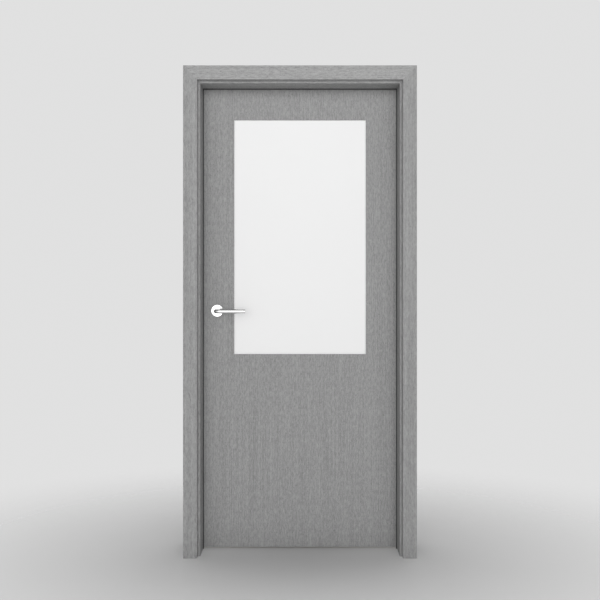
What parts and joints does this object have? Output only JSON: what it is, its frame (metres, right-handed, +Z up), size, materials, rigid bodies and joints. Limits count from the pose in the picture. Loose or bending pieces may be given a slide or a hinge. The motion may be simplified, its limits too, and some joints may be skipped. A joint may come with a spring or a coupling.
{
  "type": "glazed interior door",
  "caption": "Interior door set: rebated lining with mitred flat architraves, flush grey veneered leaf with a tall satin glass window, butt hinges and round lever handles.",
  "frame": {"origin": "floor level on the wall face of the hinge jamb, halfway through the wall", "axes": "+X from the latch side to the hinge side, +Y through the wall to the side the leaf opens to, +Z up"},
  "size_m": [1.03, 0.1955, 2.122],
  "materials": {
    "grey_veneer": "matt",
    "core_timber": "sawn",
    "seal_rubber": "matt",
    "satin_glass": "etched",
    "handle_metal": "satin",
    "steel_fittings": "satin"
  },
  "bodies": {
    "frame": {"hinge_jamb": "grey_veneer", "latch_jamb": "grey_veneer", "head_jamb": "grey_veneer", "front_architrave_hinge_side": "grey_veneer", "front_architrave_latch_side": "grey_veneer", "front_architrave_head": "grey_veneer", "back_architrave_hinge_side": "grey_veneer", "back_architrave_latch_side": "grey_veneer", "back_architrave_head": "grey_veneer", "seal_hinge_side": "seal_rubber", "seal_latch_side": "seal_rubber", "seal_head": "seal_rubber", "strike_plate": "steel_fittings", "lower_hinge_frame_half": "steel_fittings", "middle_hinge_frame_half": "steel_fittings", "upper_hinge_frame_half": "steel_fittings"},
    "door_leaf": {"front_facing": "grey_veneer", "back_facing": "grey_veneer", "latch_lipping": "grey_veneer", "hinge_lipping": "grey_veneer", "latch_stile": "core_timber", "hinge_stile": "core_timber", "top_rail": "core_timber", "core_panel": "core_timber", "glass_pane": "satin_glass", "glazing_bead_top": "grey_veneer", "glazing_bead_bottom": "grey_veneer", "glazing_bead_hinge_side": "grey_veneer", "glazing_bead_latch_side": "grey_veneer", "lock_forend": "steel_fittings", "latch_bolt": "steel_fittings", "front_rose": "handle_metal", "back_rose": "handle_metal", "lower_hinge_leaf_half": "steel_fittings", "middle_hinge_leaf_half": "steel_fittings", "upper_hinge_leaf_half": "steel_fittings"},
    "lever_set": {"front_lever": "handle_metal", "back_lever": "handle_metal", "spindle": "steel_fittings"}
  },
  "joints": [
    {"name": "door_swing", "type": "hinge", "parent": "frame", "child": "door_leaf", "pos_m": [-0.0275, 0.0625, 0], "axis": [0, 0, -1], "range_deg": [0, 110]},
    {"name": "lever_turn", "type": "hinge", "parent": "door_leaf", "child": "lever_set", "pos_m": [-0.836, 0.035, 1.054], "axis": [0, 1, 0], "range_deg": [0, 45], "stiffness_Nm_per_rad": 2, "springref_deg": -28.65}
  ]
}
